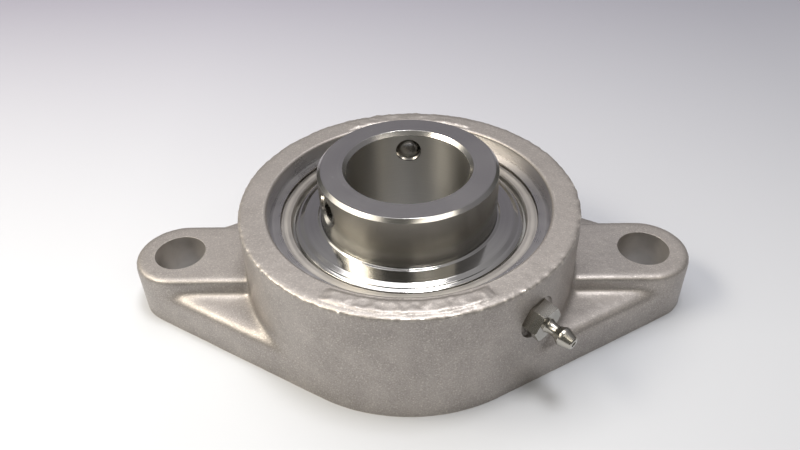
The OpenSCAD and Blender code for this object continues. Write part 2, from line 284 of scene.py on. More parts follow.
    @classmethod
    def bisect(cls, piece: Piece, point: Sequence[float], away: Sequence[float]) -> None:
        """Cuts off what lies beyond a plane and closes the cut.

        Args:
            piece: The object.
            point: A point of the plane in millimetres.
            away: Direction in which everything is cut off.
        """
        cls.edit(piece)
        corner = [c * MM for c in point]
        bpy.ops.mesh.bisect(plane_co=corner, plane_no=away, use_fill=True, clear_outer=True)
        cls.close()

    @classmethod
    def apply(cls, piece: Piece, kind: str, **settings: Any) -> None:
        """Adds one modifier and applies it.

        Args:
            piece: The object.
            kind: Blender's name of the modifier type.
            settings: Properties of the modifier.
        """
        cls.pick(piece)
        modifier = piece.modifiers.new(kind.lower(), kind)
        for key, value in settings.items():
            setattr(modifier, key, value)
        bpy.ops.object.modifier_apply(modifier=modifier.name)

    @classmethod
    def remesh(cls, piece: Piece, voxel: float) -> None:
        """Rebuilds a mesh from voxels of a size in millimetres."""
        cls.apply(piece, "REMESH", mode="VOXEL", voxel_size=voxel * MM, adaptivity=0.0)

    @classmethod
    def relax(cls, piece: Piece, steps: int, group: str = "") -> None:
        """Smooths a mesh in some steps, all of it or by the weights of a vertex group."""
        cls.apply(piece, "SMOOTH", factor=0.5, iterations=steps, vertex_group=group)

    @staticmethod
    def points(piece: Piece) -> tuple[np.ndarray, np.ndarray]:
        """Reads the places of a mesh's points.

        Args:
            piece: The object.

        Returns:
            The points, and their distances from the shaft axis, in millimetres.
        """
        co = np.array([v.co for v in piece.data.vertices]) / MM
        return co, np.hypot(co[:, 0], co[:, 1])

    @staticmethod
    def weigh(piece: Piece, name: str, weights: np.ndarray) -> None:
        """Adds a vertex group.

        Args:
            piece: The object.
            name: Name of the group.
            weights: Weight of each point.
        """
        group = piece.vertex_groups.new(name=name)
        for index in np.nonzero(weights)[0]:
            group.add([int(index)], float(weights[index]), "REPLACE")

    @classmethod
    def ruffle(cls, piece: Piece, name: str, scale: float, depth: float, group: str = "") -> None:
        """Moves a surface in and out by a cloud pattern.

        Args:
            piece: The object.
            name: Name of the pattern.
            scale: Size of the pattern in millimetres.
            depth: Full depth of the pattern in millimetres.
            group: Vertex group that it is limited to, or none.
        """
        texture = bpy.data.textures.new(name, "CLOUDS")
        texture.noise_scale = scale * MM
        texture.noise_depth = 2
        settings = {"texture": texture, "texture_coords": "LOCAL", "mid_level": 0.5}
        cls.apply(piece, "DISPLACE", strength=depth * MM, vertex_group=group, **settings)

    @classmethod
    def combine(cls, piece: Piece, other: Piece, cut: Cut) -> None:
        """Joins, cuts or trims one shape with another, which is used up."""
        cls.apply(piece, "BOOLEAN", object=other, operation=cut.value, solver="MANIFOLD")
        bpy.data.objects.remove(other)

    @classmethod
    def join(cls, pieces: Sequence[Piece], name: str) -> Piece:
        """Puts several meshes into one object.

        Args:
            pieces: The objects.
            name: Name of the object that they become.

        Returns:
            That object.
        """
        cls.pick(pieces[0])
        for piece in pieces:
            piece.select_set(True)
        bpy.ops.object.join()
        return cls.named(name)

    @classmethod
    def smooth(cls, piece: Piece, angle: float, flat: bool = False) -> None:
        """Shades an object smooth.

        Args:
            piece: The object.
            angle: Angle in degrees above which an edge stays sharp.
            flat: Whether wide faces stay flat up to their softened edges.
        """
        cls.pick(piece)
        bpy.ops.object.shade_smooth_by_angle(angle=math.radians(angle))
        if flat:
            cls.apply(piece, "WEIGHTED_NORMAL", keep_sharp=True)

    @classmethod
    def soften(cls, piece: Piece, width: float, angle: float) -> None:
        """Breaks the edges sharper than an angle in degrees by a small rounding in millimetres."""
        limit = {"limit_method": "ANGLE", "angle_limit": math.radians(angle)}
        cls.apply(piece, "BEVEL", width=width * MM, segments=2, **limit)


def at_height(height: float) -> Callable[[Edge], bool]:
    """Returns a test for edges that lie at a height in millimetres."""
    return lambda edge: all(abs(v.co.z - height * MM) < SAME for v in edge.verts)


def arc(centre: Point, radius: float, start: float, end: float, steps: int) -> list[Point]:
    """Finds points along an arc.

    Args:
        centre: Middle of the arc.
        radius: Its radius.
        start: First angle in degrees.
        end: Last angle in degrees.
        steps: Number of steps between them.

    Returns:
        The points, both ends included.
    """
    angles = [math.radians(start + (end - start) * i / steps) for i in range(steps + 1)]
    return [(centre[0] + radius * math.cos(a), centre[1] + radius * math.sin(a)) for a in angles]


def offsets(origin: Point, steps: Sequence[Point]) -> list[Point]:
    """Finds points given by their steps from one origin."""
    return [(origin[0] + r, origin[1] + z) for r, z in steps]


def hex_corner(width: float) -> float:
    """Returns the radius to the corners of a hexagon from its width across flats."""
    return width / 2 / math.cos(math.radians(30))


def radial(angle: float, height: float, out: float = 0.0) -> Matrix:
    """Places a shape with its axis pointing away from the shaft axis.

    Args:
        angle: Direction around the shaft axis in degrees.
        height: Height of the axis in millimetres.
        out: Distance of the shape's origin from the shaft axis in millimetres.

    Returns:
        The matrix that takes the shape there.
    """
    turn = Matrix.Rotation(math.radians(angle), 4, "Z")
    tip = Matrix.Rotation(math.radians(90), 4, "Y")
    return turn @ Matrix.Translation((out * MM, 0, height * MM)) @ tip


# Finishes: materials and their shared node groups


class Graph:
    """A node tree under construction."""

    def __init__(self, tree: bpy.types.NodeTree) -> None:
        """Starts on an empty tree."""
        self.tree = tree
        tree.nodes.clear()

    def feed(self, node: Node, inputs: dict[Any, Any]) -> None:
        """Sets or links inputs of a node.

        Args:
            node: The node.
            inputs: Values or sockets, by the input's name or number.
        """
        for key, value in inputs.items():
            if isinstance(value, Socket):
                self.tree.links.new(value, node.inputs[key])
            else:
                node.inputs[key].default_value = value

    def add(self, kind: str, inputs: dict[Any, Any] | None = None, **settings: Any) -> Node:
        """Adds a node.

        Args:
            kind: Blender's name of the node type.
            inputs: Values or sockets for its inputs, by name or number.
            settings: Properties of the node.

        Returns:
            The new node.
        """
        node = self.tree.nodes.new(kind)
        for key, value in settings.items():
            setattr(node, key, value)
        self.feed(node, inputs or {})
        return node

    def math(self, operation: str, *values: Any) -> Socket:
        """Adds a Math node and returns its result."""
        return self.add("ShaderNodeMath", dict(enumerate(values)), operation=operation).outputs[0]

    def total(self, *terms: tuple[Socket, float]) -> Socket:
        """Adds up sockets.

        Args:
            terms: Each socket with its weight.

        Returns:
            The weighted sum.
        """
        result: Any = 0.0
        for value, weight in terms:
            result = self.math("MULTIPLY_ADD", value, weight, result)
        return result

    def spread(self, value: Socket, span: Point, to: Point = (0.0, 1.0)) -> Socket:
        """Adds a Map Range node.

        Args:
            value: What is mapped.
            span: Values at which the result starts and stops changing.
            to: The result at these values.

        Returns:
            The result.
        """
        limits = {"From Min": span[0], "From Max": span[1], "To Min": to[0], "To Max": to[1]}
        return self.add("ShaderNodeMapRange", {"Value": value, **limits}, clamp=True).outputs["Result"]

    def tint(self, share: Socket, first: Any, second: Any) -> Socket:
        """Adds a Mix node for colours.

        Args:
            share: Share of the second colour.
            first: A colour or a socket.
            second: A colour or a socket.

        Returns:
            The mixed colour.
        """
        node = self.add("ShaderNodeMix", {"Factor": share}, data_type="RGBA")
        places = [number for number, socket in enumerate(node.inputs) if socket.type == "RGBA"]
        for number, value in zip(places, (first, second)):
            self.feed(node, {number: value if isinstance(value, Socket) else (*value, 1.0)})
        return next(s for s in node.outputs if s.type == "RGBA")

    def noise(self, vector: Socket, scale: Any, detail: float, rough: float) -> Socket:
        """Adds a Noise Texture and returns its value."""
        inputs = {"Vector": vector, "Scale": scale, "Detail": detail, "Roughness": rough}
        return self.add("ShaderNodeTexNoise", inputs).outputs["Fac"]

    def shared(self, name: str, coords: Socket, **values: float) -> Any:
        """Places a shared node group with its own values and returns its outputs."""
        return self.add("ShaderNodeGroup", {"Vector": coords, **values}, node_tree=Groups.get(name)).outputs

    def bump(self, height: Socket, depth: float, strength: float) -> Socket:
        """Raises a pattern by a depth in millimetres and returns the bent normal."""
        inputs = {"Height": height, "Distance": depth * MM, "Strength": strength}
        return self.add("ShaderNodeBump", inputs).outputs["Normal"]


class Groups:
    """Shader node groups that several finishes share, each built once."""

    _made: dict[str, bpy.types.NodeTree] = {}
    COARSE_SHARE = 0.32
    CELL_SHARE = 0.3
    PIT_SPAN = (0.06, 0.2)
    PIT_DEPTH = 0.35
    GLINT_SPAN = (0.60, 0.72)
    WIDE_SHARE = 0.13
    SCUFF_SHARE = 14.0
    SMEAR_SPAN = (0.35, 0.7)
    SCUFF_SPAN = (0.56, 0.72)

    @staticmethod
    def start(name: str, inputs: dict[str, float], outputs: Sequence[str]) -> tuple[Graph, Any, Node]:
        """Opens a new node group.

        Args:
            name: Name of the group.
            inputs: Its number inputs and their usual values.
            outputs: Names of its number outputs.

        Returns:
            The graph, what it is given, and its output node.
        """
        tree = bpy.data.node_groups.new(name, "ShaderNodeTree")
        graph, number = Graph(tree), "NodeSocketFloat"
        tree.interface.new_socket("Vector", in_out="INPUT", socket_type="NodeSocketVector")
        for key, value in inputs.items():
            tree.interface.new_socket(key, in_out="INPUT", socket_type=number).default_value = value
        for key in outputs:
            tree.interface.new_socket(key, in_out="OUTPUT", socket_type=number)
        return graph, graph.add("NodeGroupInput").outputs, graph.add("NodeGroupOutput")

    @classmethod
    def cast_grain(cls) -> bpy.types.NodeTree:
        """Builds the grain of a blasted casting: height, tone and glints.

        Returns:
            The node group.
        """
        names = ("Height", "Tone", "Glint")
        graph, given, result = cls.start("cast_grain", {"Grain": 2600.0, "Mottle": 90.0}, names)
        place, grain = given["Vector"], given["Grain"]
        fine = graph.noise(place, grain, 2.0, 0.6)
        coarse = graph.noise(place, graph.math("MULTIPLY", grain, cls.COARSE_SHARE), 3.0, 0.6)
        mottle = graph.noise(place, given["Mottle"], 4.0, 0.62)
        size = graph.math("MULTIPLY", grain, cls.CELL_SHARE)
        cells = graph.add("ShaderNodeTexVoronoi", {"Vector": place, "Scale": size}, feature="F1")
        pits = graph.spread(cells.outputs["Distance"], cls.PIT_SPAN, (1.0, 0.0))
        height = graph.total((fine, 0.5), (coarse, 1.0), (pits, -cls.PIT_DEPTH))
        tone = graph.total((mottle, 0.45), (fine, 0.55))
        graph.feed(result, dict(zip(names, (height, tone, graph.spread(fine, cls.GLINT_SPAN)))))
        return graph.tree

    @classmethod
    def turning_lines(cls) -> bpy.types.NodeTree:
        """Builds fine rings around the shaft axis, as a lathe or a grinder leaves.

        Returns:
            The node group.
        """
        graph, given, result = cls.start("turning_lines", {"Density": 9000.0}, ("Height", "Streak"))
        x, y, z = graph.add("ShaderNodeSeparateXYZ", {0: given["Vector"]}).outputs
        square = graph.math("ADD", graph.math("MULTIPLY", x, x), graph.math("MULTIPLY", y, y))
        count = graph.math("MULTIPLY", graph.math("ADD", graph.math("SQRT", square), z), given["Density"])
        fine, wide = [
            graph.add(
                "ShaderNodeTexNoise",
                {"W": graph.math("MULTIPLY", count, share), "Scale": 1.0, "Detail": 2.0},
                noise_dimensions="1D",
            ).outputs["Fac"]
            for share in (1.0, cls.WIDE_SHARE)
        ]
        graph.feed(result, {"Height": fine, "Streak": graph.total((fine, 0.4), (wide, 0.6))})
        return graph.tree

    @classmethod
    def handling_marks(cls) -> bpy.types.NodeTree:
        """Builds faint smears and scuffs, as handling leaves on bare steel.

        Returns:
            The node group.
        """
        graph, given, result = cls.start("handling_marks", {"Spread": 120.0}, ("Smear", "Scuff"))
        smear = graph.noise(given["Vector"], given["Spread"], 3.0, 0.5)
        fine = graph.math("MULTIPLY", given["Spread"], cls.SCUFF_SHARE)
        scuff = graph.noise(given["Vector"], fine, 4.0, 0.7)
        marks = {"Smear": graph.spread(smear, cls.SMEAR_SPAN), "Scuff": graph.spread(scuff, cls.SCUFF_SPAN)}
        graph.feed(result, marks)
        return graph.tree

    @classmethod
    def get(cls, name: str) -> bpy.types.NodeTree:
        """Finds a shared group, and builds it at its first use.

        Args:
            name: Name of the group and of the method that builds it.

        Returns:
            The node group.
        """
        if name not in cls._made:
            cls._made[name] = getattr(cls, name)()
        return cls._made[name]


@dataclass(frozen=True)
class Finish:
    """What every finish has: a name, and a way to build its material."""

    name: str

    def begin(self) -> tuple[Graph, Node, Socket, bpy.types.Material]:
        """Starts a material.

        Returns:
            Its graph, shader, object coordinates and the material itself.
        """
        material = bpy.data.materials.new(self.name)
        material.use_nodes = True
        graph = Graph(material.node_tree)
        shader = graph.add("ShaderNodeBsdfPrincipled")
        graph.add("ShaderNodeOutputMaterial", {"Surface": shader.outputs["BSDF"]})
        return graph, shader, graph.add("ShaderNodeTexCoord").outputs["Object"], material

    def build(self) -> bpy.types.Material:
        """Builds the material."""
        raise NotImplementedError


@dataclass(frozen=True)
class CastFinish(Finish):
    """Blasted cast stainless steel. Its convex edges are lighter, partly real wear and partly painted
    highlight, and scattered specks carry painted glints.
    """

    dark: Colour = (0.295, 0.272, 0.255)
    light: Colour = (0.475, 0.437, 0.407)
    # Edge colour: partly real wear, partly painted highlight; the scattered painted glints take it too.
    worn_and_highlight: Colour = (0.82, 0.765, 0.685)
    tones: Point = (0.32, 0.68)
    rough: float = 0.47
    rough_tones: Point = (0.3, 0.7)
    swing: float = 0.06
    worn_rough: float = 0.30
    worn_and_highlight_span: Point = (0.35, 0.75)
    worn_and_highlight_least: float = 0.35
    # Painted glints: how strongly scattered specks are lightened towards the edge colour.
    glint: float = 0.35
    metal: float = 0.75
    depth: float = 0.07
    strength: float = 0.6

    def build(self) -> bpy.types.Material:
        """Builds the material.

        Returns:
            The material.
        """
        graph, shader, coords, material = self.begin()
        grain = graph.shared("cast_grain", coords)
        wear_and_highlight = graph.add("ShaderNodeAttribute", attribute_name="wear_and_highlight").outputs["Fac"]
        raised = graph.spread(grain["Height"], self.worn_and_highlight_span, (self.worn_and_highlight_least, 1.0))
        edges = graph.math("MULTIPLY", wear_and_highlight, raised)
        # Painted highlight and real wear: convex edges and scattered glints are lightened towards the edge
        # colour.
        wear_and_highlight_share = graph.math("MAXIMUM", edges, graph.math("MULTIPLY", grain["Glint"], self.glint))
        body = graph.tint(graph.spread(grain["Tone"], self.tones), self.dark, self.light)
        limits = (self.rough + self.swing, self.rough - self.swing)
        plain = graph.spread(grain["Tone"], self.rough_tones, limits)
        graph.feed(
            shader,
            {
                "Base Color": graph.tint(wear_and_highlight_share, body, self.worn_and_highlight),
                "Roughness": graph.total((plain, 1.0), (wear_and_highlight_share, self.worn_rough - self.rough)),
                "Metallic": self.metal,
                "Normal": graph.bump(grain["Height"], self.depth, self.strength),
            },
        )
        return material


@dataclass(frozen=True)
class MachinedFinish(Finish):
    """Bare machined steel with the fine lines of its last cut."""

    dark: Colour
    light: Colour
    rough: float
    tones: Point = (0.25, 0.75)
    rough_tones: Point = (0.3, 0.7)
    swing: float = 0.06
    lay: Lay = Lay.TURNED
    density: float = 9000.0
    depth: float = 0.004
    strength: float = 0.3
    smear: float = 0.10
    stretch: float = 0.0
    quarter_turn: float = 0.25
    metal: float = 1.0

    def build(self) -> bpy.types.Material:
        """Builds the material.

        Returns:
            The material.
        """
        graph, shader, coords, material = self.begin()
        marks = graph.shared("handling_marks", coords)
        share, height = marks["Smear"], marks["Scuff"]
        if self.lay is Lay.TURNED:
            lines = graph.shared("turning_lines", coords, Density=self.density)
            share, height = lines["Streak"], lines["Height"]
        lined = graph.spread(share, self.rough_tones, (self.rough - self.swing, self.rough + self.swing))
        rough = graph.total((lined, 1.0), (marks["Smear"], self.smear), (marks["Scuff"], self.smear))
        graph.feed(
            shader,
            {
                "Base Color": graph.tint(graph.spread(share, self.tones), self.dark, self.light),
                "Roughness": rough,
                "Metallic": self.metal,
                "Normal": graph.bump(height, self.depth, self.strength),
            },
        )
        if self.stretch:
            around = graph.add("ShaderNodeTangent", direction_type="RADIAL", axis="Z").outputs["Tangent"]
            graph.feed(shader, {"Anisotropic": self.stretch, "Anisotropic Rotation": self.quarter_turn})
            graph.feed(shader, {"Tangent": around})
        return material


@dataclass(frozen=True)
class RubberFinish(Finish):
    """Black moulded rubber with a dusty bloom."""

    dark: Colour = (0.012, 0.012, 0.013)
    bloom: Colour = (0.05, 0.05, 0.052)
    rough: float = 0.55
    scuffed: float = 0.75
    spread: float = 400.0
    depth: float = 0.02
    strength: float = 0.4

    def build(self) -> bpy.types.Material:
        """Builds the material.

        Returns:
            The material.
        """
        graph, shader, coords, material = self.begin()
        marks = graph.shared("handling_marks", coords, Spread=self.spread)
        graph.feed(
            shader,
            {
                "Base Color": graph.tint(marks["Smear"], self.dark, self.bloom),
                "Roughness": graph.spread(marks["Scuff"], (0.0, 1.0), (self.rough, self.scuffed)),
                "Normal": graph.bump(marks["Scuff"], self.depth, self.strength),
            },
        )
        return material


FINE: dict[str, Any] = {"swing": 0.02, "density": 14000.0, "depth": 0.001}
PLAIN: dict[str, Any] = {"lay": Lay.NONE, "depth": 0.01}
FINISHES: dict[str, Finish] = {
    finish.name: finish
    for finish in (
        CastFinish("cast_skin"),
        MachinedFinish(
            "turned_seat", (0.44, 0.425, 0.42), (0.58, 0.56, 0.545), 0.26,
            density=5200.0, depth=0.012, stretch=0.4,
        ),
        MachinedFinish(
            "drilled_hole", (0.44, 0.415, 0.39), (0.56, 0.53, 0.50), 0.42,
            lay=Lay.NONE, depth=0.02, metal=0.85,
        ),
        MachinedFinish("ground_ring", (0.58, 0.565, 0.54), (0.62, 0.60, 0.57), 0.19, smear=0.05, **FINE),
        # Painted shade: the ring's outer wall takes a darker copy of the ring steel.
        MachinedFinish(
            "ring_wall_painted_shade", (0.31, 0.302, 0.278), (0.325, 0.315, 0.29), 0.23, smear=0.02, stretch=0.9, **FINE
        ),
        # Painted shade: the bore takes a slightly darker copy of the ring steel.
        MachinedFinish(
            "honed_bore_painted_shade", (0.49, 0.476, 0.445), (0.53, 0.512, 0.48), 0.36, smear=0.02, stretch=0.92, **FINE
        ),
        MachinedFinish("outer_face", (0.47, 0.44, 0.40), (0.57, 0.535, 0.485), 0.36),
        MachinedFinish(
            "bright_disc", (0.52, 0.507, 0.485), (0.58, 0.567, 0.54), 0.085,
            swing=0.02, density=7000.0, depth=0.002, smear=0.04,
        ),
        MachinedFinish(
            "ball_steel", (0.62, 0.62, 0.61), (0.70, 0.70, 0.69), 0.08, swing=0.01, lay=Lay.NONE, depth=0.001
        ),
        MachinedFinish("cage_sheet", (0.40, 0.39, 0.37), (0.50, 0.49, 0.46), 0.34, **PLAIN),
        MachinedFinish("screw_steel", (0.34, 0.33, 0.31), (0.46, 0.44, 0.41), 0.30, **PLAIN),
        MachinedFinish(
            "nipple_plate", (0.42, 0.402, 0.36), (0.50, 0.478, 0.43), 0.23,
            swing=0.01, lay=Lay.NONE, depth=0.0004, smear=0.02,
        ),
        RubberFinish("seal_rubber"),
    )
}


class Palette:
    """Materials made so far, one for each finish."""

    _made: dict[str, bpy.types.Material] = {}

    @classmethod
    def dress(cls, piece: Piece, *names: str) -> None:
        """Gives an object the materials of some finishes, each built at its first use.

        Args:
            piece: The object.
            names: Names of the finishes, in order.
        """
        piece.data.materials.clear()
        for name in names:
            if name not in cls._made:
                cls._made[name] = FINISHES[name].build()
            piece.data.materials.append(cls._made[name])


def hand_over(piece: Piece, body: str, slot: Slot, *nodes: str) -> None:
    """Ties a finished piece to the frame.

    Args:
        piece: The piece.
        body: Body that it moves with.
        slot: Material slot of the record that it shows; not used.
        nodes: Nodes of the frame that it stands for.
    """
    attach(piece, body)
    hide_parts(*nodes)
    count = sum(len(face.vertices) - 2 for face in piece.data.polygons)
    log.info("%s rides on %s and stands for %s, %d triangles", piece.name, body, ", ".join(nodes), count)


# Housing


@dataclass(frozen=True)
class NippleSeat:
    """Place of the nipple on the boss, in millimetres and degrees."""

    angle: float = -46.5
    lean: float = 6.0
    height: float = 22.0
    radius: float = 44.0

    def matrix(self, along: float = 0.0) -> Matrix:
        """Finds the nipple's axis, which leans towards the mounting face about its foot.

        Args:
            along: Where on that axis the shape's origin goes, in millimetres from the shaft axis.

        Returns:
            The matrix that takes a shape there.
        """
        tilt = Matrix.Rotation(math.radians(self.lean), 4, "Y")
        foot = radial(self.angle, self.height, self.radius) @ tilt
        return foot @ Matrix.Translation((0, 0, (along - self.radius) * MM))


@dataclass
class Housing:
    """Cast flange with its machined seat, in millimetres and degrees."""

    bolt_x: float = 65.0
    hole_r: float = 7.0
    hole_edge: float = 0.1
    hole_steps: int = 96
    ear_r: float = 12.5
    ear_h: float = 15.5
    half_from: float = 0.1
    edge_round: float = 1.6
    web_h: float = 11.2
    web_tilt: float = 60.0
    web_round: float = 2.8
    web_steps: int = 6
    boss_r: float = 45.0
    boss_h: float = 34.0
    boss_steps: int = 240
    rim_round: float = 0.7
    voxel: float = 0.52
    soft_from: float = 0.4
    soft_over: float = 2.6
    soft_least: float = 0.13
    soft_steps: int = 60
    dent_reach: float = 1.5
    ruffles: tuple[tuple[str, float, float, str], ...] = (
        ("waves", 9.0, 0.14, ""),
        ("skin", 1.5, 0.09, ""),
        ("rim_dents", 1.2, 0.5, "dents"),
        ("rim_nicks", 2.8, 0.32, "dents"),
    )
    pad_h: float = 0.4
    pad_root: float = 1.2
    pad_angle: float = 62.0
    pad_in_r: float = 38.4
    pad_out_r: float = 43.9
    pad_voxel: float = 0.36
    pad_steps: int = 8
    pad_fade: float = 6.0
    pad_slope: float = 1.0
    pad_sink: float = 1.8
    pad_ruffles: tuple[tuple[str, float, float], ...] = (("pad_edges", 1.5, 0.42), ("pad_bends", 5.0, 0.3))
    seam_depth: float = 0.4
    seam_steps: int = 4
    mouth_r: float = 37.5
    mouth_z: float = 30.0
    mouth_edge: float = 0.8
    seat_r: float = 36.03
    seat_steps: int = 256
    seat_arc: int = 24
    lip_arc: int = 6
    rear_r: float = 34.0
    opening_edge: float = 0.6
    slot_r: float = 36.08
    slot_half_w: float = 10.3
    slot_steps: int = 180
    nipple: NippleSeat = NippleSeat()
    nipple_steps: int = 72
    spot_d: float = 11.515
    spot_edge: float = 0.4
    spot_far: float = 6.0
    stem_d: float = 5.84
    stem_end: float = 38.48
    duct_d: float = 4.0
    spare: float = 3.0
    clear: float = 20.0
    over: float = 1.0
    wear_and_highlight_from: float = 0.07
    wear_and_highlight_over: float = 0.16
    wear_and_highlight_rounds: int = 2
    turned_margin: float = 0.05
    drilled_margin: float = 0.02
    sharp: float = 35.0

    def boss(self) -> Piece:
        """Makes the round boss.

        Returns:
            The boss.
        """
        piece = Workshop.cylinder("boss", self.boss_r, -self.spare, self.boss_h, self.boss_steps)
        Workshop.round_edges(piece, at_height(self.boss_h), self.rim_round)
        return piece

    def ears(self) -> Piece:
        """Makes the strip with round ends that carries the bolt holes.

        Returns:
            The strip.
        """
        left = (-self.bolt_x, 0.0)
        piece = Workshop.cylinder("ears", self.ear_r, -self.spare, self.ear_h, self.hole_steps, left)
        Workshop.edit(piece)
        mesh = bmesh.from_edit_mesh(piece.data)
        bpy.ops.mesh.select_mode(type="VERT")
        bpy.ops.mesh.select_all(action="DESELECT")
        for vertex in mesh.verts:
            vertex.select_set(vertex.co.x > (-self.bolt_x + self.half_from) * MM)
        mesh.select_flush(True)
        bmesh.update_edit_mesh(piece.data)
        bpy.ops.transform.translate(value=(2 * self.bolt_x * MM, 0, 0))
        Workshop.close()
        Workshop.round_edges(piece, at_height(self.ear_h), self.edge_round)
        return piece

    def webs(self) -> Piece:
        """Makes the low triangular webs between boss and ears.

        Returns:
            The webs, in one shape.
        """
        tilt = math.radians(self.web_tilt)
        piece = Workshop.cylinder("webs", self.boss_r / math.cos(tilt), -self.spare, self.web_h, sides=4)
        Workshop.edit(piece)
        bpy.ops.transform.resize(value=(1, 1 / math.tan(tilt), 1))
        Workshop.close()
        reach_x = self.bolt_x + self.ear_r * math.cos(tilt)
        reach_y = self.boss_r * math.sin(tilt)
        for side in (-1, 1):
            Workshop.bisect(piece, (side * reach_x, 0, 0), (side, 0, 0))
            Workshop.bisect(piece, (0, side * reach_y, 0), (0, side, 0))
        level = at_height(self.web_h)

        def slanted(edge: Edge) -> bool:
            """Says whether an edge is a slanted one of the top face."""
            run = edge.verts[1].co - edge.verts[0].co
            return level(edge) and min(abs(run.x), abs(run.y)) > MM

        Workshop.round_edges(piece, slanted, self.web_round, self.web_steps)
        return piece

    def pad(self, side: int) -> Piece:
        """Makes one plain raised pad on the rim.

        Args:
            side: 1 for the pad at the back, -1 for the one at the front.

        Returns:
            The pad.
        """
        low, high = self.boss_h - self.pad_root, self.boss_h + self.pad_h
        inner, outer = self.pad_in_r, self.pad_out_r
        section = [(inner, low), (outer, low), (outer, high), (inner, high)]
        piece = Workshop.turned("pad", section, self.boss_steps)
        half = math.radians(self.pad_angle / 2)
        for turn in (-1, 1):
            Workshop.bisect(piece, (0, 0, 0), (turn * math.cos(half), -side * math.sin(half), 0))
        Workshop.remesh(piece, self.pad_voxel)
        Workshop.relax(piece, self.pad_steps)
        for name, scale, depth in self.pad_ruffles:
            Workshop.ruffle(piece, name, scale, depth)
        co, radius = Workshop.points(piece)
        turned = np.degrees(np.arctan2(np.abs(co[:, 0]), np.abs(co[:, 1])))
        from_ends = (self.pad_angle / 2 - turned) / self.pad_fade
        from_sides = np.minimum(radius - inner, outer - radius) / self.pad_slope
        Workshop.weigh(piece, "ends", 1.0 - np.clip(np.minimum(from_ends, from_sides), 0.0, 1.0))
        sink = {"direction": "Z", "strength": -self.pad_h * self.pad_sink * MM, "mid_level": 0.0}
        Workshop.apply(piece, "DISPLACE", vertex_group="ends", **sink)
        return piece

    def skin(self) -> Piece:
        """Melts the cast shapes into one skin with soft corners and a cast surface.

        Returns:
            The casting, still without its machined faces.
        """
        piece = Workshop.join([self.boss(), self.ears(), self.webs()], "housing_casting")
        Workshop.remesh(piece, self.voxel)
        below = self.ear_h - self.soft_from - Workshop.points(piece)[0][:, 2]
        Workshop.weigh(piece, "soft", np.clip(below / self.soft_over, self.soft_least, 1.0))
        Workshop.relax(piece, self.soft_steps, "soft")
        co, radius = Workshop.points(piece)
        rim = np.hypot(radius - self.boss_r, co[:, 2] - self.boss_h)
        Workshop.weigh(piece, "dents", np.clip(self.dent_reach - rim, 0.0, 1.0))
        for ruffle in self.ruffles:
            Workshop.ruffle(piece, *ruffle)
        for side in (-1, 1):
            Workshop.combine(piece, self.pad(side), Cut.JOIN)
        co, radius = Workshop.points(piece)
        high = co[:, 2] > self.boss_h - self.seam_depth
        Workshop.weigh(piece, "seams", (high & (radius < self.boss_r - self.seam_depth)).astype(float))
        Workshop.relax(piece, self.seam_steps, "seams")
        return piece

    def cavity(self) -> Piece:
        """Makes the shape that the turned seat takes out.

        Returns:
            The shape to cut out.
        """
        mouth, rear, over, edge = self.mouth_r, self.rear_r, self.over, self.mouth_edge
        top = self.boss_h + self.pad_h + over
        seat_top = math.degrees(math.asin((self.mouth_z - SEAT_Z) / self.seat_r))
        seat_low = math.degrees(math.acos(rear / self.seat_r))
        section = [(0.0, -over), (rear + self.opening_edge + over, -over), (rear, self.opening_edge)]
        section += arc((0.0, SEAT_Z), self.seat_r, -seat_low, seat_top, self.seat_arc)
        lip = arc((mouth + edge, self.boss_h - edge), edge, 180, 90, self.lip_arc)
        section += [(mouth, self.mouth_z), *lip, (mouth + edge, top), (0.0, top)]
        return Workshop.turned("cavity", section, self.seat_steps)

    def bolt_cut(self, side: int) -> Piece:
        """Makes the shape of a bolt hole with soft edges.

        Args:
            side: 1 for the right hole, -1 for the left one.

        Returns:
            The shape to cut out.
        """
        edge, top = self.hole_edge, self.ear_h + 2 * self.over
        flare = arc((self.hole_r + edge, self.ear_h - edge), edge, 180, 90, self.lip_arc)
        section = [(0.0, -self.over), (self.hole_r, -self.over), *flare]
        section += [(self.hole_r + edge, top), (0.0, top)]
        piece = Workshop.turned("bolt_cut", section, self.hole_steps)
        return Workshop.place(piece, Matrix.Translation((side * self.bolt_x * MM, 0, 0)))

    def nipple_cut(self) -> Piece:
        """Makes the shape of the nipple's spot face, thread and duct.

        Returns:
            The shape to cut out.
        """
        spot, stem, duct = self.spot_d / 2, self.stem_d / 2, self.duct_d / 2
        face, far, edge = self.nipple.radius, self.boss_r + self.spot_far, self.spot_edge
        section = [(0.0, self.rear_r), (duct, self.rear_r), (duct, self.stem_end), (stem, self.stem_end)]
        section += [(stem, face), (spot - edge, face), (spot, face + edge), (spot, far), (0.0, far)]
        piece = Workshop.turned("nipple_cut", section, self.nipple_steps)
        return Workshop.place(piece, self.nipple.matrix())

    def machine(self, piece: Piece) -> None:
        """Cuts the machined faces into the casting.

        Args:
            piece: The casting.
        """
        wide, half, over = self.bolt_x + self.clear, self.slot_half_w, self.over
        base = Workshop.block("base_cut", (-wide, -wide, -self.clear), (wide, wide, 0.0))
        slots = Workshop.cylinder("slot_cut", self.slot_r, -over, SEAT_Z, self.slot_steps)
        keep = Workshop.block("slot_keep", (-wide, -half, -2 * over), (wide, half, SEAT_Z + over))
        Workshop.combine(slots, keep, Cut.KEEP)
        for cut in (self.cavity(), self.bolt_cut(-1), self.bolt_cut(1), self.nipple_cut(), base, slots):
            Workshop.combine(piece, cut, Cut.REMOVE)

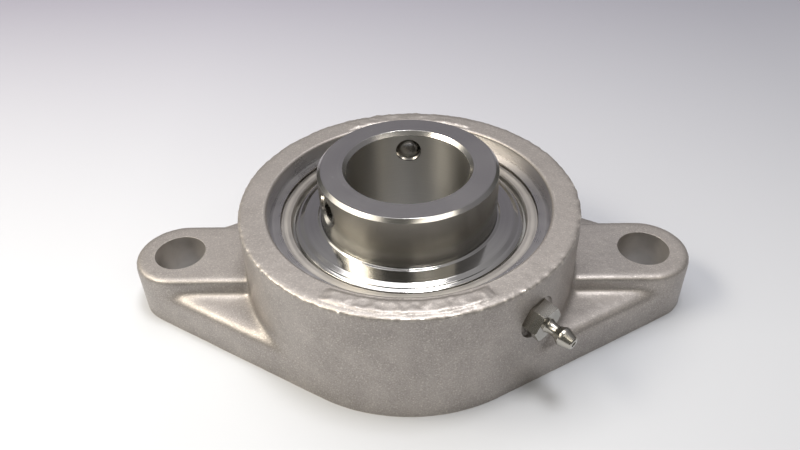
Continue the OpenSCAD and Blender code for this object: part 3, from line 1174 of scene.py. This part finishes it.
    def wear_and_highlight(self, piece: Piece) -> None:
        """Stores how far each point stands out from its surroundings. The cast finish lightens these convex
        points, partly as real wear and partly as painted highlight.

        Args:
            piece: The casting.
        """
        mesh = piece.data
        count = len(mesh.vertices)
        co, normals = np.empty(count * 3), np.empty(count * 3)
        mesh.vertices.foreach_get("co", co)
        mesh.vertices.foreach_get("normal", normals)
        co, normals = co.reshape(-1, 3), normals.reshape(-1, 3)
        ends = np.empty(len(mesh.edges) * 2, dtype=np.int64)
        mesh.edges.foreach_get("vertices", ends)
        first, second = ends.reshape(-1, 2).T
        links = np.bincount(ends, minlength=count).clip(1)

        def average(values: np.ndarray) -> np.ndarray:
            """Averages a value over each point's neighbours."""
            total = np.bincount(first, values[second], count) + np.bincount(second, values[first], count)
            return total / links

        run = co[second] - co[first]
        length = np.linalg.norm(run, axis=1).clip(TINY)
        lean = np.bincount(first, -(run * normals[first]).sum(1) / length, count)
        lean += np.bincount(second, (run * normals[second]).sum(1) / length, count)
        bend = lean / links
        for _ in range(self.wear_and_highlight_rounds):
            bend = 0.5 * bend + 0.5 * average(bend)
        share = np.clip((bend - self.wear_and_highlight_from) / self.wear_and_highlight_over, 0.0, 1.0).astype(np.float32)
        mesh.attributes.new("wear_and_highlight", "FLOAT", "POINT").data.foreach_set("value", share)

    def dress(self, piece: Piece) -> None:
        """Gives cast and machined faces their finishes.

        Args:
            piece: The housing.
        """
        Palette.dress(piece, "cast_skin", "turned_seat", "drilled_hole")
        inside = (self.mouth_r + self.turned_margin) * MM
        hole, base = (self.hole_r + self.drilled_margin) * MM, self.drilled_margin * MM
        for face in piece.data.polygons:
            middle = face.center
            turned = math.hypot(middle.x, middle.y) < inside or middle.z < base
            drilled = math.hypot(abs(middle.x) - self.bolt_x * MM, middle.y) < hole
            face.material_index = 2 if drilled else 1 if turned else 0

    def build(self) -> None:
        """Builds the housing."""
        piece = self.skin()
        self.machine(piece)
        self.wear_and_highlight(piece)
        self.dress(piece)
        Workshop.smooth(piece, self.sharp)
        hand_over(piece, "housing", Slot.CAST, "housing")


# Rings and discs


@dataclass
class Insert:
    """Rings and flingers of the bearing insert, in millimetres and degrees."""

    bore_r: float = 15.875
    bore_edge: float = 1.0
    shoulder_r: float = 23.444
    shoulder_edge: float = 0.9
    inner_low: float = 1.5
    inner_high: float = 44.4
    inner_groove: Point = (26.887, 5.723)
    inner_soft: Point = (0.05, 30.0)
    inner_sharp: float = 28.0
    outer_sharp: float = 24.0
    upright: float = 0.1
    screw_r: float = 3.5
    screw_steps: int = 64
    thread_depth: float = 0.45
    thread_pitch: float = 1.0
    thread_from: float = 0.35
    tap_in: float = 2.0
    tap_out: float = 1.5
    sink_w: float = 0.85
    sphere_r: float = 36.0
    half_w: float = 10.0
    land_r: float = 30.056
    recess_r: float = 31.306
    snap_r: float = 31.906
    snap: Point = (7.186, 8.026)
    outer_groove: Point = (26.502, 5.834)
    face_edge: float = 0.35
    flinger_r: float = 30.606
    flinger_low: float = 8.956
    flinger_h: float = 2.05
    flinger_t: float = 0.9
    flinger_lip_w: float = 0.95
    flinger_lip_h: float = 0.35
    flinger_dish: float = 0.45
    flinger_drop: float = 0.5
    flinger_band: float = 1.3
    flinger_slope: float = 1.2
    flinger_fall: float = 0.15
    flinger_soft: Point = (0.1, 10.0)
    flinger_sharp: float = 40.0
    rim_land: float = 0.4
    rim_fall: float = 0.2
    fit_gap: float = 0.02
    groove_arc: int = 14
    sphere_arc: int = 20
    steps: int = 224

    def inner_section(self) -> list[Point]:
        """Draws the section of the inner ring, with its raceway.

        Returns:
            Its corners.
        """
        bore, shoulder, low, high = self.bore_r, self.shoulder_r, self.inner_low, self.inner_high
        edge, rim = self.bore_edge, self.shoulder_edge
        middle, radius = self.inner_groove
        half = math.degrees(math.acos((middle - shoulder) / radius))
        groove = arc((middle, SEAT_Z), radius, 180 + half, 180 - half, self.groove_arc)
        section = [(bore, low + edge), (bore + edge, low), (shoulder - rim, low), (shoulder, low + rim)]
        section += [*groove, (shoulder, high - rim), (shoulder - rim, high)]
        return [*section, (bore + edge, high), (bore, high - edge)]

    def tapped_hole(self, angle: float) -> Piece:
        """Makes the shape of a tapped hole with its thread grooves and countersink.

        Args:
            angle: Direction of the hole around the shaft axis in degrees.

        Returns:
            The shape to cut out.
        """
        start, end = self.bore_r - self.tap_in, self.shoulder_r
        core, crest = self.screw_r, self.screw_r + self.thread_depth
        section: list[Point] = [(0.0, start), (core, start)]
        along = self.bore_r + self.thread_from
        while along + self.thread_pitch < end - self.sink_w:
            section += [(core, along), (crest, along + 0.5 * self.thread_pitch)]
            along += self.thread_pitch
        section += [(core, along), (core, end - self.sink_w)]
        section += [(core + self.sink_w + self.tap_out, end + self.tap_out), (0.0, end + self.tap_out)]
        piece = Workshop.turned("tapped_cut", section, self.screw_steps)
        return Workshop.place(piece, radial(angle, SCREW_Z))

    def inner_ring(self) -> None:
        """Builds the long inner ring with its two tapped holes."""
        piece = Workshop.turned("inner_ring_ground", self.inner_section(), self.steps)
        Workshop.soften(piece, *self.inner_soft)
        for angle in SCREW_ANGLES.values():
            Workshop.combine(piece, self.tapped_hole(angle), Cut.REMOVE)
        Palette.dress(piece, "ground_ring", "ring_wall_painted_shade", "honed_bore_painted_shade")
        middle = (self.bore_r + self.shoulder_r) / 2 * MM
        # Upright faces take darker copies of the ring steel, painted shade: the outer wall and the bore.
        for face in piece.data.polygons:
            outside = math.hypot(face.center.x, face.center.y) > middle
            wall = abs(face.normal.z) < self.upright
            face.material_index = (1 if outside else 2) if wall else 0
        Workshop.smooth(piece, self.inner_sharp, flat=True)
        hand_over(piece, "inner_ring", Slot.GROUND, "inner_ring")

    def outer_section(self) -> list[Point]:
        """Draws the section of the outer ring, with raceway, seal grooves and broken edges.

        Returns:
            Its corners.
        """
        half, edge, recess = self.half_w, self.face_edge, self.recess_r
        corner = math.sqrt(self.sphere_r**2 - half**2)
        lean = math.degrees(math.asin((half - edge) / self.sphere_r))
        outside = arc((0.0, 0.0), self.sphere_r, -lean, lean, self.sphere_arc)
        middle, radius = self.outer_groove
        opening = math.degrees(math.acos((self.land_r - middle) / radius))
        groove = arc((middle, 0.0), radius, opening, -opening, self.groove_arc)
        low, high = self.snap
        front = [(corner - edge, half), (recess + edge, half), (recess, half - edge), (recess, high)]
        front += [(self.snap_r, high), (self.snap_r, low), (self.land_r, low)]
        rear = [(r, -z) for r, z in reversed(front)]
        return [(r, z + SEAT_Z) for r, z in [*outside, *front, *groove, *rear]]

    def outer_ring(self) -> None:
        """Builds the outer ring."""
        piece = Workshop.turned("outer_ring_ground", self.outer_section(), self.steps)
        Palette.dress(piece, "outer_face")
        Workshop.smooth(piece, self.outer_sharp)
        hand_over(piece, "outer_ring", Slot.GROUND, "outer_ring")

    def flinger_section(self) -> list[Point]:
        """Draws the section of a flinger above the bearing's centre.

        Returns:
            Its corners.
        """
        hub = self.shoulder_r + self.fit_gap
        lip = hub + self.flinger_lip_w
        thick, low, dish = self.flinger_t, self.flinger_low, self.flinger_dish
        step_out = self.flinger_r - self.flinger_band
        step_in = step_out - self.flinger_slope
        top = low + self.flinger_h
        lip_low = top - self.flinger_lip_h
        step_top = lip_low - dish
        step_low = step_top - self.flinger_drop
        rim_top = step_low - self.flinger_fall - self.rim_fall
        under = [(hub, low), (lip, low), (lip, lip_low - thick), (step_in - dish, step_top - thick)]
        under += [(step_out - dish, step_low - thick), (self.flinger_r, rim_top - thick)]
        over = [(self.flinger_r, rim_top), (step_out + self.rim_land, step_low), (step_out, step_low)]
        over += [(step_in, step_top), (lip, lip_low), ((hub + lip) / 2, top), (hub, top)]
        return under + over

    def flinger(self, node: str, side: int) -> None:
        """Builds one flinger.

        Args:
            node: Node that it stands for.
            side: 1 for the front flinger, -1 for the rear one.
        """
        section = [(r, SEAT_Z + side * z) for r, z in self.flinger_section()]
        piece = Workshop.turned(f"{node}_disc", section, self.steps)
        Workshop.soften(piece, *self.flinger_soft)
        Palette.dress(piece, "bright_disc")
        Workshop.smooth(piece, self.flinger_sharp, flat=True)
        hand_over(piece, "inner_ring", Slot.POLISHED, node)

    def build(self) -> None:
        """Builds both rings and both flingers."""
        self.inner_ring()
        self.outer_ring()
        self.flinger("front_flinger", 1)
        self.flinger("rear_flinger", -1)


# Set screws and grease nipple


@dataclass
class SetScrew:
    """A set screw with a hexagon socket, in millimetres and degrees."""

    node: str
    angle: float
    radius: float = 3.45
    thread_depth: float = 0.4
    pitch: float = 1.0
    point_r: float = 16.875
    length: float = 6.0
    socket_af: float = 4.0
    socket_depth: float = 3.0
    cup_r: float = 1.9
    cup_depth: float = 1.0
    point_edge: float = 1.2
    over: float = 1.0
    steps: int = 64
    sharp: float = 25.0

    def section(self) -> list[Point]:
        """Draws the screw's section with its thread ridges, from its point outwards.

        Returns:
            Its corners.
        """
        root, along = self.radius - self.thread_depth, self.point_edge
        points: list[Point] = [(0.0, self.cup_depth), (self.cup_r, 0.0), (self.radius - along, 0.0)]
        points.append((root, along - self.thread_depth))
        while along + self.pitch < self.length:
            points += [(self.radius, along), (root, along + 0.5 * self.pitch)]
            along += self.pitch
        return [*points, (self.radius, along), (root, self.length), (0.0, self.length)]

    def build(self) -> None:
        """Builds the screw."""
        piece = Workshop.turned(f"{self.node}_threaded", self.section(), self.steps)
        low, high = self.length - self.socket_depth, self.length + self.over
        socket = Workshop.cylinder("socket", hex_corner(self.socket_af), low, high, sides=6)
        Workshop.combine(piece, socket, Cut.REMOVE)
        Workshop.place(piece, radial(self.angle, SCREW_Z, self.point_r))
        Palette.dress(piece, "screw_steel")
        Workshop.smooth(piece, self.sharp, flat=True)
        hand_over(piece, self.node, Slot.SCREW, self.node)


@dataclass
class Nipple:
    """Grease nipple with hexagon, neck and head, in millimetres and degrees."""

    seat: NippleSeat = NippleSeat()
    stem_d: float = 5.8
    stem_l: float = 5.5
    stem_edge: float = 0.5
    stem_top: float = 1.0
    hex_af: float = 8.5
    hex_h: float = 4.2
    hex_edge: float = 0.5
    cone_low: Point = (0.8, -0.5)
    cone_side: float = 0.4
    cone_top: Point = (0.2, 0.35)
    neck_d: float = 3.5
    neck_l: float = 2.8
    core: Point = (-0.3, 1.2)
    core_end: float = -0.5
    neck_shape: tuple[Point, ...] = ((0.3, -0.1), (0.05, 0.35), (-0.12, 0.9))
    waist_shape: tuple[Point, ...] = ((-0.18, -0.4), (-0.08, 0.0))
    head_d: float = 4.9
    head_l: float = 4.7
    head_shape: tuple[Point, ...] = ((-0.2, 1.05), (0.0, 1.4), (0.0, 2.0), (-0.12, 2.3))
    tip_d: float = 3.0
    tip_shape: tuple[Point, ...] = ((0.12, -0.25), (-0.12, 0.0))
    mouth_r: float = 0.7
    mouth_edge: float = 0.1
    check_r: float = 1.1
    check_gap: float = 0.05
    check_sink: float = 0.55
    check_arc: int = 8
    cone_steps: int = 96
    nose_steps: int = 72
    passage_steps: int = 48
    over: float = 1.0
    soft: Point = (0.07, 25.0)
    sharp: float = 30.0

    def hexagon(self) -> Piece:
        """Makes the hexagon with the round chamfers that turning leaves on its corners.

        Returns:
            The hexagon.
        """
        corner = hex_corner(self.hex_af)
        piece = Workshop.cylinder("grease_nipple_turned", corner, 0.0, self.hex_h, sides=6)
        edge, top, wide = self.hex_edge, self.hex_h, corner + self.cone_side
        inner = corner - 2 * edge
        (low_r, low_z), (top_r, top_z) = self.cone_low, self.cone_top
        cone = [(0.0, low_z), (inner + low_r, low_z), (wide, edge), (wide, top - edge)]
        cone += [(inner + top_r, top + top_z), (0.0, top + top_z)]
        Workshop.combine(piece, Workshop.turned("chamfer", cone, self.cone_steps), Cut.KEEP)
        return piece

    def nose(self) -> Piece:
        """Makes the threaded stem, the neck and the head in one turned shape.

        Returns:
            That shape.
        """
        stem, neck, head, tip = (d / 2 for d in (self.stem_d, self.neck_d, self.head_d, self.tip_d))
        low, top = -self.stem_l, self.hex_h
        base = top + self.neck_l
        end = base + self.head_l
        core, core_z = self.core
        section = [(0.0, low), (stem - self.stem_edge, low), (stem, low + self.stem_edge)]
        section += [(stem, self.stem_top), (neck + core, core_z), (neck + core, top + self.core_end)]
        section += offsets((neck, top), self.neck_shape) + offsets((neck, base), self.waist_shape)
        section += offsets((head, base), self.head_shape) + offsets((tip, end), self.tip_shape)
        section += [(self.mouth_r + self.mouth_edge, end), (0.0, end)]
        return Workshop.turned("nose", section, self.nose_steps)

    def passage(self) -> Piece:
        """Makes the shape of the grease passage, with the check ball's chamber.

        Returns:
            The shape to cut out.
        """
        end, low = self.hex_h + self.neck_l + self.head_l, -self.stem_l - self.over
        ball = end - self.check_r - self.check_sink
        bore, mouth, step = self.check_r + self.check_gap, self.mouth_r, 0.5 * self.hex_h
        lean = math.degrees(math.acos(mouth / bore))
        section = [(0.0, low), (mouth, low), (mouth, step), (bore, step)]
        section += arc((0.0, ball), bore, 0.0, lean, self.check_arc)
        section += [(mouth, end + self.over), (0.0, end + self.over)]
        return Workshop.turned("passage", section, self.passage_steps)

    def build(self) -> None:
        """Builds the nipple."""
        piece = self.hexagon()
        Workshop.combine(piece, self.nose(), Cut.JOIN)
        Workshop.combine(piece, self.passage(), Cut.REMOVE)
        Workshop.soften(piece, *self.soft)
        Workshop.place(piece, self.seat.matrix(self.seat.radius))
        Palette.dress(piece, "nipple_plate")
        Workshop.smooth(piece, self.sharp, flat=True)
        hand_over(piece, "housing", Slot.NIPPLE, "grease_nipple")


# Pieces of the frame that stay as they are


@dataclass
class Internals:
    """Balls, cage, seals and valve, which keep the frame's own shapes."""

    finishes: dict[str, str] = field(
        default_factory=lambda: {
            "ball_": "ball_steel",
            "cage_": "cage_sheet",
            "front_seal_shield": "cage_sheet",
            "rear_seal_shield": "cage_sheet",
            "front_seal_lip": "seal_rubber",
            "rear_seal_lip": "seal_rubber",
            "nipple_check_ball": "ball_steel",
            "nipple_spring": "screw_steel",
        }
    )
    spring: str = "nipple_spring"
    spring_joint: str = "check_ball_lift"

    def fold_spring(self) -> None:
        """Gives the nipple's spring a mesh of its own."""
        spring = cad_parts[self.spring]
        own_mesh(spring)

    def build(self) -> None:
        """Gives each inner piece its finish."""
        for node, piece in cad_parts.items():
            finish = next((f for start, f in self.finishes.items() if node.startswith(start)), None)
            if finish is not None:
                Palette.dress(piece, finish)
                log.info("%s keeps its shape, finish %s", node, finish)
        self.fold_spring()


# Studio


def towards(azimuth: float, elevation: float) -> Vector:
    """Finds the direction from the object that two angles in degrees give."""
    turn, rise = math.radians(azimuth), math.radians(elevation)
    return Vector((math.sin(turn) * math.cos(rise), -math.cos(turn) * math.cos(rise), math.sin(rise)))


def add_object(name: str, data: bpy.types.ID) -> Piece:
    """Adds an object to the scene.

    Args:
        name: Name of the object.
        data: Its lamp or camera data.

    Returns:
        The object.
    """
    thing = bpy.data.objects.new(name, data)
    bpy.context.scene.collection.objects.link(thing)
    return thing


@dataclass
class Lamp:
    """A soft panel of light, placed by its direction from the object, in degrees and metres."""

    name: str
    azimuth: float
    elevation: float
    distance: float
    width: float
    height: float
    radiance: float
    colour: Colour

    def build(self) -> None:
        """Adds the panel."""
        way = towards(self.azimuth, self.elevation)
        data = bpy.data.lights.new(self.name, "AREA")
        data.shape = "RECTANGLE"
        data.size, data.size_y = self.width, self.height
        data.energy = self.radiance * math.pi * self.width * self.height
        data.color = self.colour
        lamp = add_object(self.name, data)
        lamp.location = way * self.distance
        lamp.rotation_euler = way.to_track_quat("Z", "Y").to_euler()


@dataclass
class Studio:
    """Floor, light and camera."""

    lamps: tuple[Lamp, ...] = (
        Lamp("left_window", -78.0, 41.0, 0.80, 0.86, 0.42, 1.8, (1.0, 0.93, 0.80)),
        Lamp("left_high", -80.0, 50.0, 0.76, 0.34, 0.18, 13.5, (1.0, 0.93, 0.80)),
        Lamp("front_right", 36.0, 49.0, 0.85, 0.62, 0.12, 3.5, (1.0, 0.94, 0.83)),
        Lamp("ceiling", -155.0, 74.0, 0.92, 0.66, 0.46, 2.6, (0.99, 0.985, 1.0)),
        Lamp("top", 90.0, 84.0, 0.90, 0.23, 0.19, 28.0, (0.985, 0.985, 1.0)),
    )
    low: Colour = (0.10, 0.098, 0.09)
    front: Colour = (0.12, 0.118, 0.105)
    back: Colour = (0.25, 0.24, 0.27)
    left: Colour = (0.30, 0.295, 0.29)
    right: Colour = (0.22, 0.216, 0.226)
    above: Colour = (0.42, 0.415, 0.43)
    backdrop: Colour = (0.30, 0.298, 0.315)
    depth_span: Point = (-0.6, 0.6)
    side_span: Point = (-0.7, 0.7)
    side_share: Point = (0.2, 0.85)
    wall_span: Point = (0.12, 0.42)
    above_span: Point = (0.76, 0.92)
    above_lift: float = 0.2
    floor_size: float = 6.0
    # Painted light falloff: floor colours near and far, each from left to right.
    floor_near: tuple[Colour, Colour] = ((0.645, 0.66, 0.683), (0.475, 0.485, 0.51))
    floor_far: tuple[Colour, Colour] = ((0.32, 0.308, 0.365), (0.272, 0.27, 0.312))
    floor_depth: Point = (-0.02, 0.26)
    floor_side: Point = (-0.10, 0.16)
    floor_edge: Point = (0.2, 0.5)
    elevation: float = 38.443
    azimuth: float = 2.064
    roll: float = -1.906
    distance: float = 199.69
    target: tuple[float, float, float] = (-2.505, 0.0, 24.633)
    focal_px: float = 730.98
    image_w: float = 800.0
    sensor: float = 36.0
    clip_start: float = 0.01

    def floor(self) -> None:
        """Adds the pale floor, with painted light falloff: its colour darkens towards the back and the
        right.

        Its far parts are pale for the camera only: for other rays they are dark and light the object little.
        """
        Workshop.clear_selection()
        bpy.ops.mesh.primitive_plane_add(size=self.floor_size)
        piece = Workshop.named("floor")
        material = bpy.data.materials.new("floor_paper")
        material.use_nodes = True
        graph = Graph(material.node_tree)
        coords = graph.add("ShaderNodeTexCoord").outputs["Object"]
        x, y, _ = graph.add("ShaderNodeSeparateXYZ", {0: coords}).outputs
        side = graph.spread(x, self.floor_side)
        # Painted light falloff: darker towards the back and the right.
        near, far = (graph.tint(side, *colours) for colours in (self.floor_near, self.floor_far))
        sheet = graph.tint(graph.spread(y, self.floor_depth), near, far)
        reach = graph.add("ShaderNodeVectorMath", {0: coords}, operation="LENGTH").outputs["Value"]
        unseen = graph.math("SUBTRACT", 1.0, graph.add("ShaderNodeLightPath").outputs["Is Camera Ray"])
        edge = graph.math("MULTIPLY", graph.spread(reach, self.floor_edge), unseen)
        shader = graph.add("ShaderNodeBsdfDiffuse", {"Color": graph.tint(edge, sheet, self.low)})
        graph.add("ShaderNodeOutputMaterial", {"Surface": shader.outputs[0]})
        piece.data.materials.append(material)

    def world(self) -> None:
        """Sets the even light of the room: brightest above and on the left, dark along the floor."""
        world = bpy.data.worlds.new("room")
        bpy.context.scene.world = world
        world.use_nodes = True
        graph = Graph(world.node_tree)
        way = graph.add("ShaderNodeTexCoord").outputs["Generated"]
        x, y, z = graph.add("ShaderNodeSeparateXYZ", {0: way}).outputs
        depth = graph.tint(graph.spread(y, self.depth_span), self.front, self.back)
        side = graph.tint(graph.spread(x, self.side_span), self.left, self.right)
        around = graph.tint(graph.spread(graph.math("ABSOLUTE", x), self.side_share), depth, side)
        walls = graph.tint(graph.spread(z, self.wall_span), self.low, around)
        rise = graph.total((y, self.above_lift), (z, 1.0))
        colour = graph.tint(graph.spread(rise, self.above_span), walls, self.above)
        seen = graph.add("ShaderNodeLightPath").outputs["Is Camera Ray"]
        back = graph.add("ShaderNodeBackground", {"Color": graph.tint(seen, colour, self.backdrop)})
        graph.add("ShaderNodeOutputWorld", {"Surface": back.outputs[0]})

    def camera(self) -> None:
        """Adds the camera at the photograph's place."""
        back, roll = towards(self.azimuth, self.elevation), math.radians(self.roll)
        right = Vector((0, 0, 1)).cross(back).normalized()
        up = back.cross(right)
        side = math.cos(roll) * right + math.sin(roll) * up
        top = -math.sin(roll) * right + math.cos(roll) * up
        data = bpy.data.cameras.new("camera")
        data.sensor_width = self.sensor
        data.lens = self.focal_px * self.sensor / self.image_w
        data.clip_start = self.clip_start
        camera = add_object("camera", data)
        place = Vector(self.target) * MM + back * self.distance * MM
        camera.matrix_world = Matrix.Translation(place) @ Matrix((side, top, back)).transposed().to_4x4()
        bpy.context.scene.camera = camera

    def build(self) -> None:
        """Builds the stage."""
        self.floor()
        self.world()
        for lamp in self.lamps:
            lamp.build()
        self.camera()
        bpy.context.scene.view_settings.view_transform = "Standard"


def main() -> None:
    """Builds every piece and the studio around them."""
    logging.basicConfig(level=logging.INFO, format="%(name)s: %(message)s")
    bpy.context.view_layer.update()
    Housing().build()
    Insert().build()
    for node, angle in SCREW_ANGLES.items():
        SetScrew(node, angle).build()
    Nipple().build()
    Internals().build()
    Studio().build()
    Workshop.clear_selection()


if __name__ == "__main__":
    main()
